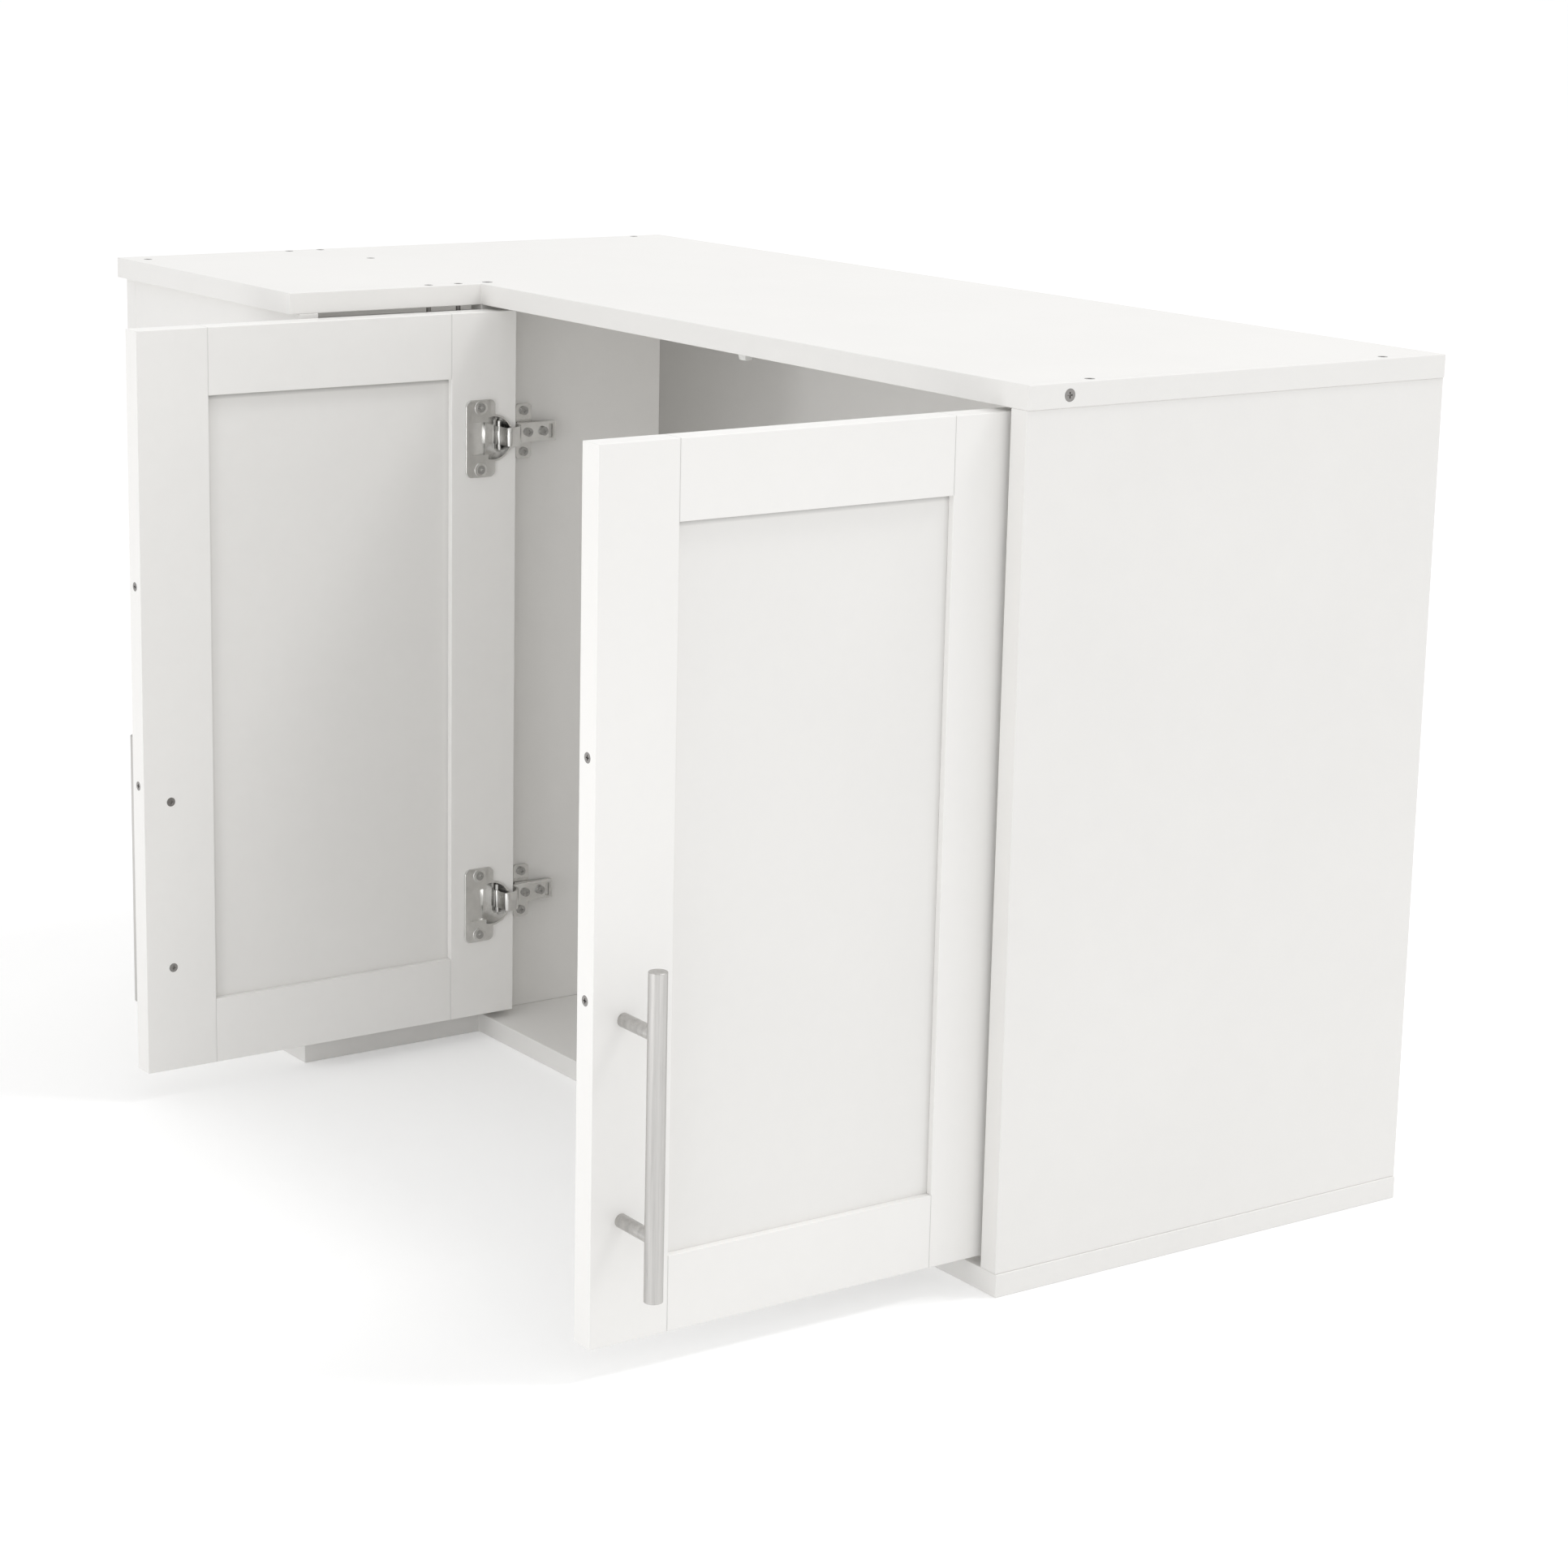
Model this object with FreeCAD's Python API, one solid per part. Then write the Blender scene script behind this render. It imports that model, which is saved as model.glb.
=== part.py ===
"""L-shaped wall cabinet for a room corner, with two framed doors on concealed hinges.

Millimetres. X runs along the long wall, Y points to that wall and Z up. Both doors
stand open at a right angle to the front. Pieces are placed from the room corner and
moved at the end, so that the middle of the underside of the whole part is the origin.
"""

import math
import os

import FreeCAD
import Part

Vector = FreeCAD.Vector
ALONG_X = Vector(1, 0, 0)
ALONG_Y = Vector(0, 1, 0)
ALONG_Z = Vector(0, 0, 1)

# Carcass
long_wall_length = 965.0
short_wall_length = 525.0
long_wing_depth = 360.0
short_wing_depth = 300.0
cabinet_height = 600.0
board_thickness = 16.0
end_overhang = 8.0
side_setback = 1.0
post_depth = 165.0
filler_top_gap = 5.0
edge_ease = 0.6

# Doors
door_thickness = 18.0
door_bottom_gap = 6.0
door_top_gap = 3.0
door_middle_gap = 3.0
stile_width = 57.0
rail_height = 50.0
panel_thickness = 8.0
panel_tongue = 9.0
groove_clearance = 0.1
door_ease = 0.5

# Hinge axis in the door and the room it needs to swing
pin_from_edge = 9.2
pin_from_face = 8.6
swing_clearance = 0.6
lower_hinge_height = 91.0
upper_hinge_drop = 97.0

# Hinge cup and its flange
cup_radius = 17.5
cup_wall = 0.8
cup_bore_depth = 13.0
cup_from_edge = 21.0
cup_rim = 0.8
cup_opening = 25.4
bore_clearance = 0.1
flange_width = 26.0
flange_height = 60.0
flange_thickness = 1.0
flange_from_edge = 32.0
flange_corner = 5.0
flange_screw_offset = 24.0

# Hinge arm, pin and mounting plate
pin_radius = 1.5
pin_length = 22.6
pin_clearance = 0.05
eye_radius = 2.4
arm_sheet = 1.8
arm_height = 14.0
arm_clearance = 0.45
arm_length = 38.0
arm_outer_bend = 3.2
arm_inner_bend = 1.4
plate_height = 43.0
plate_width = 14.0
plate_base = 2.5
plate_rise = 8.0
plate_setback = 37.0
plate_rib_height = 11.0
plate_rib_end = 6.0
plate_screw_offset = 16.0
clamp_from_plate = 14.0

# Bar handle
handle_from_edge = 22.0
handle_lower_post = 80.0
handle_spacing = 128.0
handle_length = 208.0
handle_radius = 6.0
handle_stand = 37.0
handle_post_radius = 4.5

# Fasteners
small_head_radius = 3.4
small_head_height = 1.6
small_shank_radius = 1.8
large_head_radius = 4.2
large_head_height = 2.4
large_shank_radius = 2.4
recess_width = 0.9
recess_depth = 0.9
fastener_clearance = 0.05
top_screw_length = 45.0
cover_screw_length = 12.0
plate_screw_length = 13.0
flange_screw_length = 12.0
handle_screw_bite = 9.0
edge_screw_length = 30.0
adjuster_length = 5.0

# Places of the visible screws
end_screw_from_wall = 24.0
back_screw_corner = 32.0
back_screw_near = 344.0
back_screw_far = 373.0
side_screw_rear = 50.0
side_screw_front = 304.0
post_screw_from_front = 10.0
filler_screw_near = 16.0
filler_screw_far = 42.0
cover_screw_from_short_wall = 88.0
cover_screw_from_long_wall = 340.0
end_face_screw_from_front = 33.0
lower_edge_screw_height = 221.0
upper_edge_screw_height = 371.0

# Door stop and wall fixing
stop_width = 11.0
stop_depth = 6.5
stop_height = 7.5
stop_door_clearance = 1.0
stop_corner = 1.5
wall_hole_radius = 2.75
wall_hole_from_end = 154.0
wall_hole_from_edge = 60.0
cut_overrun = 1.0

# Planes and places that follow
front = -long_wing_depth
wing_end = -short_wall_length
end_face = wing_end + end_overhang
shelf_level = board_thickness
ceiling = cabinet_height - board_thickness
side_inner = long_wall_length - side_setback - board_thickness
opening_middle = (short_wing_depth + side_inner) / 2.0
swing_radius = math.hypot(pin_from_edge, pin_from_face)
hinge_gap = swing_radius + swing_clearance - pin_from_edge
door_width = (side_inner - short_wing_depth - door_middle_gap) / 2.0 - hinge_gap
door_low = shelf_level + door_bottom_gap
door_high = ceiling - door_top_gap
pin_x = short_wing_depth + swing_radius + swing_clearance
pin_y = front + pin_from_face
outer_face = pin_x - pin_from_face
inner_face = outer_face + door_thickness
hinge_edge = pin_y + pin_from_edge
free_edge = hinge_edge - door_width
lower_hinge = door_low + lower_hinge_height
upper_hinge = door_high - upper_hinge_drop
cup_y = hinge_edge - cup_from_edge
flange_y = hinge_edge - flange_from_edge
flange_face = inner_face + flange_thickness
cup_floor = inner_face - cup_bore_depth
handle_x = outer_face - handle_stand
handle_y = free_edge + handle_from_edge
lower_post = door_low + handle_lower_post
upper_post = lower_post + handle_spacing
corner_sweep = math.hypot(door_thickness - pin_from_face, pin_from_edge)
rim_inset = cup_from_edge - cup_radius - cup_rim
rim_sweep = math.hypot(flange_face - pin_x, pin_from_edge - rim_inset)
neck_x = pin_x + rim_sweep + arm_clearance
neck_y = pin_y + corner_sweep + arm_clearance
web_x = short_wing_depth + plate_rise
plate_y = front + plate_setback
origin_x = (2.0 * opening_middle - handle_x + handle_radius) / 2.0
origin_y = free_edge / 2.0


def box(x_low, x_high, y_low, y_high, z_low, z_high):
    corner = Vector(x_low, y_low, z_low)
    return Part.makeBox(x_high - x_low, y_high - y_low, z_high - z_low, corner)


def rod(radius, length, start, direction):
    return Part.makeCylinder(radius, length, start, direction)


def eased(shape, radius):
    return shape.makeFillet(radius, shape.Edges)


def without(shape, tools):
    for tool in tools:
        shape = shape.cut(tool)
    return shape


def group(shapes):
    return Part.makeCompound(shapes)


def edges_along(shape, direction):
    found = []
    for edge in shape.Edges:
        run = edge.Vertexes[-1].Point.sub(edge.Vertexes[0].Point)
        if run.Length > 0 and abs(run.normalize().dot(direction)) > 0.999:
            found.append(edge)
    return found


def edges_at(shape, places):
    found = []
    for edge in edges_along(shape, ALONG_Z):
        point = edge.Vertexes[0].Point
        for x, y in places:
            if math.hypot(point.x - x, point.y - y) < pin_clearance:
                found.append(edge)
    return found


def mirrored(shape):
    """The same piece on the right-hand side of the door opening."""
    return shape.mirror(Vector(opening_middle, 0, 0), ALONG_X)


# Screws: the place is on the surface and the direction goes into the board
def screw(place, direction, length, head_radius, head_height, shank_radius, sunk):
    lift = 0 if sunk else head_height
    head = rod(head_radius, head_height, Vector(0, 0, -lift), ALONG_Z)
    shank = rod(shank_radius, length, Vector(0, 0, -lift), ALONG_Z)
    arm = head_radius / 2.0
    slots = [
        box(-arm, arm, -recess_width / 2.0, recess_width / 2.0, -lift, recess_depth - lift),
        box(-recess_width / 2.0, recess_width / 2.0, -arm, arm, -lift, recess_depth - lift),
    ]
    solid = without(head.fuse(shank), slots)
    solid.Placement = FreeCAD.Placement(place, FreeCAD.Rotation(ALONG_Z, direction))
    return solid


def screw_hole(place, direction, length, head_radius, head_height, shank_radius, sunk):
    back = place - direction * cut_overrun
    depth = length + fastener_clearance + cut_overrun
    hole = rod(shank_radius + fastener_clearance, depth, back, direction)
    if sunk:
        seat = rod(head_radius + fastener_clearance, head_height + cut_overrun, back, direction)
        hole = hole.fuse(seat)
    return hole


SMALL = (small_head_radius, small_head_height, small_shank_radius)
LARGE = (large_head_radius, large_head_height, large_shank_radius)


def screws(places, sunk):
    return group([screw(place, way, length, *size, sunk) for place, way, length, size in places])


def holes(places, sunk):
    return [screw_hole(place, way, length, *size, sunk) for place, way, length, size in places]


def top_screw_places():
    down = Vector(0, 0, -1)
    back_x = board_thickness / 2.0
    front_x = short_wing_depth - board_thickness / 2.0
    side_x = side_inner + board_thickness / 2.0
    end_y = end_face + board_thickness / 2.0
    spots = [
        (end_screw_from_wall, end_y, top_screw_length, SMALL),
        (back_x, -back_screw_corner, top_screw_length, SMALL),
        (back_x, -back_screw_near, top_screw_length, SMALL),
        (back_x, -back_screw_far, top_screw_length, SMALL),
        (side_x, -side_screw_rear, top_screw_length, SMALL),
        (side_x, -side_screw_front, top_screw_length, SMALL),
        (front_x, front + post_screw_from_front, top_screw_length, LARGE),
        (front_x, front - filler_screw_near, top_screw_length, SMALL),
        (front_x, front - filler_screw_far, top_screw_length, SMALL),
        (cover_screw_from_short_wall, -cover_screw_from_long_wall, cover_screw_length, SMALL),
    ]
    return [(Vector(x, y, cabinet_height), down, length, size) for x, y, length, size in spots]


def end_face_screw_places():
    y = front + end_face_screw_from_front
    z = cabinet_height - board_thickness / 2.0
    return [(Vector(long_wall_length, y, z), ALONG_X * -1, edge_screw_length, LARGE)]


def plate_screw_places(height):
    x = short_wing_depth + plate_base
    levels = (height - plate_screw_offset, height + plate_screw_offset)
    return [(Vector(x, plate_y, z), ALONG_X * -1, plate_screw_length, SMALL) for z in levels]


def arm_screw_places(height):
    x = web_x + arm_sheet
    rows = (plate_y, plate_y + clamp_from_plate)
    return [(Vector(x, y, height), ALONG_X * -1, adjuster_length, SMALL) for y in rows]


def flange_screw_places(height):
    levels = (height - flange_screw_offset, height + flange_screw_offset)
    way = ALONG_X * -1
    return [(Vector(flange_face, flange_y, z), way, flange_screw_length, SMALL) for z in levels]


def handle_screw_places():
    length = door_thickness + handle_screw_bite
    way = ALONG_X * -1
    levels = (lower_post, upper_post)
    return [(Vector(inner_face, handle_y, z), way, length, SMALL) for z in levels]


def free_edge_screw_places():
    x = (outer_face + inner_face) / 2.0
    levels = (door_low + lower_edge_screw_height, door_low + upper_edge_screw_height)
    return [(Vector(x, free_edge, z), ALONG_Y, edge_screw_length, SMALL) for z in levels]


# Carcass boards
def l_board(z_low, end_y):
    outline = [
        Vector(0, 0, z_low),
        Vector(0, end_y, z_low),
        Vector(short_wing_depth, end_y, z_low),
        Vector(short_wing_depth, front, z_low),
        Vector(long_wall_length, front, z_low),
        Vector(long_wall_length, 0, z_low),
        Vector(0, 0, z_low),
    ]
    face = Part.Face(Part.makePolygon(outline))
    return eased(face.extrude(ALONG_Z * board_thickness), edge_ease)


def top_panel():
    board = l_board(ceiling, wing_end)
    return without(board, holes(top_screw_places() + end_face_screw_places(), True))


def bottom_panel():
    return l_board(0, end_face)


def upright(x_low, x_high, y_low, y_high, z_high, tools):
    board = eased(box(x_low, x_high, y_low, y_high, shelf_level, z_high), edge_ease)
    return without(board, tools)


def right_side_panel():
    tools = holes(top_screw_places(), True)
    for height in (lower_hinge, upper_hinge):
        tools += [mirrored(hole) for hole in holes(plate_screw_places(height), False)]
    return upright(side_inner, side_inner + board_thickness, front, 0, ceiling, tools)


def left_end_panel():
    tools = holes(top_screw_places(), True)
    y_high = end_face + board_thickness
    return upright(board_thickness, short_wing_depth, end_face, y_high, ceiling, tools)


def short_back_panel():
    tools = holes(top_screw_places(), True)
    return upright(0, board_thickness, end_face, -board_thickness, ceiling, tools)


def wall_holes():
    depth = board_thickness + 2.0 * cut_overrun
    drills = []
    for x in (wall_hole_from_end, side_inner - wall_hole_from_end):
        for z in (wall_hole_from_edge, cabinet_height - wall_hole_from_edge):
            start = Vector(x, -board_thickness - cut_overrun, z)
            drills.append(rod(wall_hole_radius, depth, start, ALONG_Y))
    return drills


def long_back_panel():
    return upright(0, side_inner, -board_thickness, 0, ceiling, wall_holes())


def corner_post():
    tools = holes(top_screw_places(), True)
    for height in (lower_hinge, upper_hinge):
        tools += holes(plate_screw_places(height), False)
    x_low = short_wing_depth - board_thickness
    return upright(x_low, short_wing_depth, front, front + post_depth, ceiling, tools)


def filler_panel():
    tools = holes(top_screw_places(), True)
    x_low = short_wing_depth - board_thickness
    y_low = end_face + board_thickness
    return upright(x_low, short_wing_depth, y_low, front, ceiling - filler_top_gap, tools)


def door_stop():
    y_low = front + door_thickness + stop_door_clearance
    left = opening_middle - stop_width / 2.0
    right = opening_middle + stop_width / 2.0
    block = box(left, right, y_low, y_low + stop_depth, ceiling - stop_height, ceiling)
    return block.makeFillet(stop_corner, edges_along(block, ALONG_Z))


# Concealed hinge on the left-hand door
def hinge_plate(height):
    half = plate_height / 2.0
    rib = plate_rib_height / 2.0
    side = plate_width / 2.0
    rib_end = front + plate_setback + clamp_from_plate + plate_rib_end
    wings = box(short_wing_depth, short_wing_depth + plate_base, plate_y - side, plate_y + side,
                height - half, height + half)
    wings = wings.makeFillet(arm_outer_bend, edges_along(wings, ALONG_X))
    spine = box(short_wing_depth, web_x, neck_y + arm_sheet, rib_end, height - rib, height + rib)
    tools = holes(plate_screw_places(height), False) + holes(arm_screw_places(height), False)
    return without(wings.fuse(spine), tools)


def hinge_arm(height):
    low = height - arm_height / 2.0
    high = height + arm_height / 2.0
    half = arm_sheet / 2.0
    far_x = neck_x + arm_sheet
    far_y = neck_y + arm_sheet
    cheek_x = short_wing_depth + plate_base + arm_clearance
    parts = [
        rod(eye_radius, arm_height, Vector(pin_x, pin_y, low), ALONG_Z),
        box(pin_x, far_x, pin_y - half, pin_y + half, low, high),
        box(neck_x, far_x, pin_y - half, far_y, low, high),
        box(web_x, far_x, neck_y, far_y, low, high),
        box(web_x, web_x + arm_sheet, neck_y, neck_y + arm_length, low, high),
    ]
    shape = parts[0]
    for piece in parts[1:]:
        shape = shape.fuse(piece)
    shape = shape.removeSplitter()
    outer = [(far_x, pin_y - half), (far_x, far_y), (web_x, neck_y)]
    inner = [(neck_x, pin_y + half), (neck_x, neck_y), (web_x + arm_sheet, far_y)]
    shape = shape.makeFillet(arm_outer_bend, edges_at(shape, outer))
    shape = shape.makeFillet(arm_inner_bend, edges_at(shape, inner))
    inside = plate_rib_height / 2.0 + arm_clearance
    for z_low, z_high in ((low, height - inside), (height + inside, high)):
        cheek = box(cheek_x, web_x + arm_sheet / 2.0, far_y + arm_outer_bend, neck_y + arm_length, z_low, z_high)
        shape = shape.fuse(cheek)
    bore = rod(pin_radius + pin_clearance, arm_height + 2.0 * cut_overrun,
               Vector(pin_x, pin_y, low - cut_overrun), ALONG_Z)
    return without(shape, [bore] + holes(arm_screw_places(height), False))


def hinge_pin(height):
    return rod(pin_radius, pin_length, Vector(pin_x, pin_y, height - pin_length / 2.0), ALONG_Z)


def hinge_cup(height):
    start = Vector(cup_floor, cup_y, height)
    shell = rod(cup_radius, cup_bore_depth + flange_thickness, start, ALONG_X)
    rim = rod(cup_radius + cup_rim, flange_thickness, Vector(inner_face, cup_y, height), ALONG_X)
    half = flange_height / 2.0
    side = flange_width / 2.0
    flange = box(inner_face, flange_face, flange_y - side, flange_y + side, height - half, height + half)
    flange = flange.makeFillet(flange_corner, edges_along(flange, ALONG_X))
    hollow = rod(cup_radius - cup_wall, cup_bore_depth + flange_thickness + cut_overrun,
                 Vector(cup_floor + cup_wall, cup_y, height), ALONG_X)
    keep = box(cup_floor, flange_face + 2.0 * cut_overrun, hinge_edge - cup_opening,
               hinge_edge, height - cup_radius, height + cup_radius)
    hollow = hollow.common(keep)
    tools = [hollow, hinge_pin(height)] + holes(flange_screw_places(height), False)
    return without(shell.fuse(rim).fuse(flange), tools)


def cup_bore(height):
    start = Vector(cup_floor, cup_y, height)
    return rod(cup_radius + bore_clearance, cup_bore_depth + cut_overrun, start, ALONG_X)


# Framed door, standing open
def door_bar(y_low, y_high, z_low, z_high, tools):
    bar = eased(box(outer_face, inner_face, y_low, y_high, z_low, z_high), door_ease)
    return without(bar, [panel_groove()] + tools)


def panel_solid(margin):
    middle = (outer_face + inner_face) / 2.0
    half = panel_thickness / 2.0 + margin
    reach = panel_tongue + margin
    return box(middle - half, middle + half,
               free_edge + stile_width - reach, hinge_edge - stile_width + reach,
               door_low + rail_height - reach, door_high - rail_height + reach)


def panel_groove():
    return panel_solid(groove_clearance)


def hinge_stile():
    tools = []
    for height in (lower_hinge, upper_hinge):
        tools += [cup_bore(height)] + holes(flange_screw_places(height), False)
    return door_bar(hinge_edge - stile_width, hinge_edge, door_low, door_high, tools)


def free_stile():
    tools = holes(handle_screw_places(), True) + holes(free_edge_screw_places(), True)
    return door_bar(free_edge, free_edge + stile_width, door_low, door_high, tools)


def rail(z_low):
    y_low = free_edge + stile_width
    return door_bar(y_low, hinge_edge - stile_width, z_low, z_low + rail_height, [])


def handle_bar():
    start = (lower_post + upper_post - handle_length) / 2.0
    bar = rod(handle_radius, handle_length, Vector(handle_x, handle_y, start), ALONG_Z)
    return bar.makeFillet(door_ease, bar.Edges[0:1] + bar.Edges[2:3])


def handle_posts():
    bar = handle_bar()
    drills = holes(handle_screw_places(), True)
    posts = []
    for level in (lower_post, upper_post):
        start = Vector(handle_x, handle_y, level)
        post = rod(handle_post_radius, handle_stand, start, ALONG_X)
        posts.append(without(post, [bar] + drills))
    return group(posts)


def door_pieces():
    pieces = {
        "hinge_stile": hinge_stile(),
        "free_stile": free_stile(),
        "top_rail": rail(door_high - rail_height),
        "bottom_rail": rail(door_low),
        "panel": panel_solid(0),
        "handle_bar": handle_bar(),
        "handle_posts": handle_posts(),
        "handle_screws": screws(handle_screw_places(), True),
        "edge_screws": screws(free_edge_screw_places(), True),
    }
    places = []
    for name, height in (("lower", lower_hinge), ("upper", upper_hinge)):
        pieces[name + "_hinge_cup"] = hinge_cup(height)
        pieces[name + "_hinge_pin"] = hinge_pin(height)
        pieces[name + "_hinge_arm"] = hinge_arm(height)
        pieces[name + "_hinge_plate"] = hinge_plate(height)
        places.append(height)
    flange_places = flange_screw_places(places[0]) + flange_screw_places(places[1])
    plate_places = plate_screw_places(places[0]) + plate_screw_places(places[1])
    arm_places = arm_screw_places(places[0]) + arm_screw_places(places[1])
    pieces["flange_screws"] = screws(flange_places, False)
    pieces["plate_screws"] = screws(plate_places, False)
    pieces["arm_screws"] = screws(arm_places, False)
    return pieces


def all_pieces():
    pieces = {
        "top_panel": top_panel(),
        "bottom_panel": bottom_panel(),
        "right_side_panel": right_side_panel(),
        "left_end_panel": left_end_panel(),
        "short_back_panel": short_back_panel(),
        "long_back_panel": long_back_panel(),
        "corner_post": corner_post(),
        "filler_panel": filler_panel(),
        "door_stop": door_stop(),
        "top_screws": screws(top_screw_places(), True),
        "end_face_screw": screws(end_face_screw_places(), True),
    }
    for name, shape in door_pieces().items():
        pieces["left_" + name] = shape
        pieces["right_" + name] = mirrored(shape)
    return pieces


def build():
    os.makedirs("parts", exist_ok=True)
    shift = Vector(-origin_x, -origin_y, 0)
    for name, shape in all_pieces().items():
        placed = shape.copy()
        placed.translate(shift)
        placed.exportStep("parts/" + name + ".step")


build()
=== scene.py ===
import math

import bmesh
import bpy
from bpy.props import FloatProperty, FloatVectorProperty, PointerProperty
from mathutils import Euler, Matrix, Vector


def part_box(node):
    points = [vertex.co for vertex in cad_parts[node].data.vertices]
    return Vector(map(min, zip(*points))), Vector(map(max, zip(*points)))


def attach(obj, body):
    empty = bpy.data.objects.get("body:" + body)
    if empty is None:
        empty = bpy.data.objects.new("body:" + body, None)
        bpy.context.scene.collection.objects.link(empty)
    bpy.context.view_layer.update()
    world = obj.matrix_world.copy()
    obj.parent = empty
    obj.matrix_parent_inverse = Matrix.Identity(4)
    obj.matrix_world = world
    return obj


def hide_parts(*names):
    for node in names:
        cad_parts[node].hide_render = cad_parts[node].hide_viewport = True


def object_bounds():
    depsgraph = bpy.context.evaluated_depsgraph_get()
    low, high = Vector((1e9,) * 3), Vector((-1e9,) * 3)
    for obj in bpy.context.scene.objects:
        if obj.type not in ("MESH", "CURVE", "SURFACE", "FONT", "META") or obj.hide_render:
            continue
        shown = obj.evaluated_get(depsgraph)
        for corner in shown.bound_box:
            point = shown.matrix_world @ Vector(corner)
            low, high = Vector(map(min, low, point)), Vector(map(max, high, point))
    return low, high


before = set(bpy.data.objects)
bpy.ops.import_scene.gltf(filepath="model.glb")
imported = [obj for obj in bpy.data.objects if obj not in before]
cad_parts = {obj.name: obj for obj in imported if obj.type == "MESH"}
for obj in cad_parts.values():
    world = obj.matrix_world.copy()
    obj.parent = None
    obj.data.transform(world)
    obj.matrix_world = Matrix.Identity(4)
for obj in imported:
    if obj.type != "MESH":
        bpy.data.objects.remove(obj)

bl_info = {
    "name": "L-shaped wall cabinet",
    "version": (1, 0, 0),
    "blender": (4, 2, 0),
    "location": "View3D > Sidebar > Cabinet",
    "description": "Dresses the solids of a corner wall cabinet with two open doors",
    "category": "Object",
}

CAD_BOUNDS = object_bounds()
MM = 0.001
SIDES = ("left", "right")
LEVELS = ("lower", "upper")

BOARD_NODES = (
    "top_panel", "bottom_panel", "right_side_panel", "left_end_panel",
    "short_back_panel", "long_back_panel", "corner_post", "filler_panel",
)
DOOR_FRAME_NODES = ("hinge_stile", "free_stile", "top_rail", "bottom_rail")
SCREW_NODES = ("handle_screws", "edge_screws")
HINGE_SCREW_NODES = ("flange_screws", "plate_screws", "arm_screws")

# Sockets of the mix node by number, because their names repeat
MIX_FACTOR = 0
FLOAT_FIRST = 2
FLOAT_SECOND = 3
FLOAT_RESULT = 0
COLOUR_FIRST = 6
COLOUR_SECOND = 7
COLOUR_RESULT = 2

# Noise of the finishes: scale, detail and roughness
BOARD_CLOUD = (5.0, 4.0, 0.55)
BOARD_DRIFT = (38.0, 3.0, 0.5)
BOARD_PORES = (620.0, 2.0, 0.6)
DOOR_CLOUD = (7.0, 4.0, 0.5)
DOOR_RIPPLE = (90.0, 3.0, 0.55)
DOOR_SKIN = (850.0, 2.0, 0.5)
BAR_STROKES = (1500.0, 3.0, 0.6)
# Painted reflections: broad lighter and darker bands around the handle bar
BAR_REFLECTION_BANDS = (220.0, 1.0, 0.5)
BAR_PATCHES = (45.0, 2.0, 0.5)
PLATE_CLOUD = (160.0, 4.0, 0.6)
PLATE_SPECK = (900.0, 2.0, 0.5)
PLASTIC_CLOUD = (120.0, 3.0, 0.5)
PLASTIC_SKIN = (1400.0, 2.0, 0.5)
FLOOR_CLOUD = (0.6, 2.0, 0.5)
ALONG_BAR = (1.0, 1.0, 0.02)
NOISE_LOW = 0.3
NOISE_HIGH = 0.7

# Share of the first of two noises that are mixed
BOARD_CLOUD_SHARE = 0.65
BOARD_PORE_SHARE = 0.6
DOOR_CLOUD_SHARE = 0.7
DOOR_SKIN_SHARE = 0.5
BAR_REFLECTION_SHARE = 0.6
BAR_STROKE_SHARE = 0.7
PLATE_CLOUD_SHARE = 0.6
PLATE_SPECK_SHARE = 0.5

# Tones as factors of a colour, the darkest and the lightest where there are two
BOARD_TONES = (0.978, 1.012)
DOOR_TONES = (0.982, 1.01)
# The handle bar's tones cover its painted reflections and its strokes
BAR_STROKE_AND_REFLECTION_TONES = (0.78, 1.15)
PLATE_TONES = (0.94, 1.05)
PLASTIC_TONES = (0.96, 1.0)
FLOOR_TONES = (0.995, 1.0)
PORE_TONE = 0.9
PORE_STRENGTH = 0.06
# Painted shade: the tone of the lines in the door joints and along the panel groove
PAINTED_SHADE_TONE = 0.45
HINGE_SCREW_TONE = 0.62

# Roughness, lowest and highest
BOARD_ROUGHNESS = (0.36, 0.47)
DOOR_ROUGHNESS = (0.3, 0.4)
BAR_ROUGHNESS = (0.26, 0.4)
HINGE_ROUGHNESS = (0.16, 0.28)
SCREW_ROUGHNESS = (0.3, 0.46)
HINGE_SCREW_ROUGHNESS = (0.24, 0.36)
PLASTIC_ROUGHNESS = (0.38, 0.5)

# Bumps as strength and height in metres, and the specular level of the foils
BOARD_BUMP = (0.12, 0.0004)
DOOR_BUMP = (0.1, 0.0004)
BAR_BUMP = (0.15, 0.0002)
PLATE_BUMP = (0.2, 0.0002)
PLASTIC_BUMP = (0.15, 0.0002)
BOARD_SPECULAR = 0.4
DOOR_SPECULAR = 0.42

# Fine lines of painted shade on the doors: half width in millimetres, and how dark the painted shade is
JOINT_WIDTH = 0.8
JOINT_PAINTED_SHADE = 0.26
GROOVE_WIDTH = 4.0
GROOVE_PAINTED_SHADOW = 0.85


# Shader maths as plain expressions
class Signal:
    """A node socket that takes part in Python arithmetic."""

    def __init__(self, paint, socket):
        self.paint = paint
        self.socket = socket

    def _with(self, operation, first, second):
        made = self.paint.node("ShaderNodeMath", {"operation": operation}, {0: first, 1: second})
        return made.out(0)

    def __add__(self, other):
        return self._with("ADD", self, other)

    def __sub__(self, other):
        return self._with("SUBTRACT", self, other)

    def __rsub__(self, other):
        return self._with("SUBTRACT", other, self)

    def __mul__(self, other):
        return self._with("MULTIPLY", self, other)

    def __abs__(self):
        return self._with("ABSOLUTE", self, 0.0)

    def at_least(self, other):
        return self._with("MAXIMUM", self, other)

    def over(self, other):
        return self._with("GREATER_THAN", self, other)


class Node:
    """A shader node whose outputs come back as signals."""

    def __init__(self, paint, node):
        self.paint = paint
        self.node = node

    def out(self, name):
        return Signal(self.paint, self.node.outputs[name])


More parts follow.
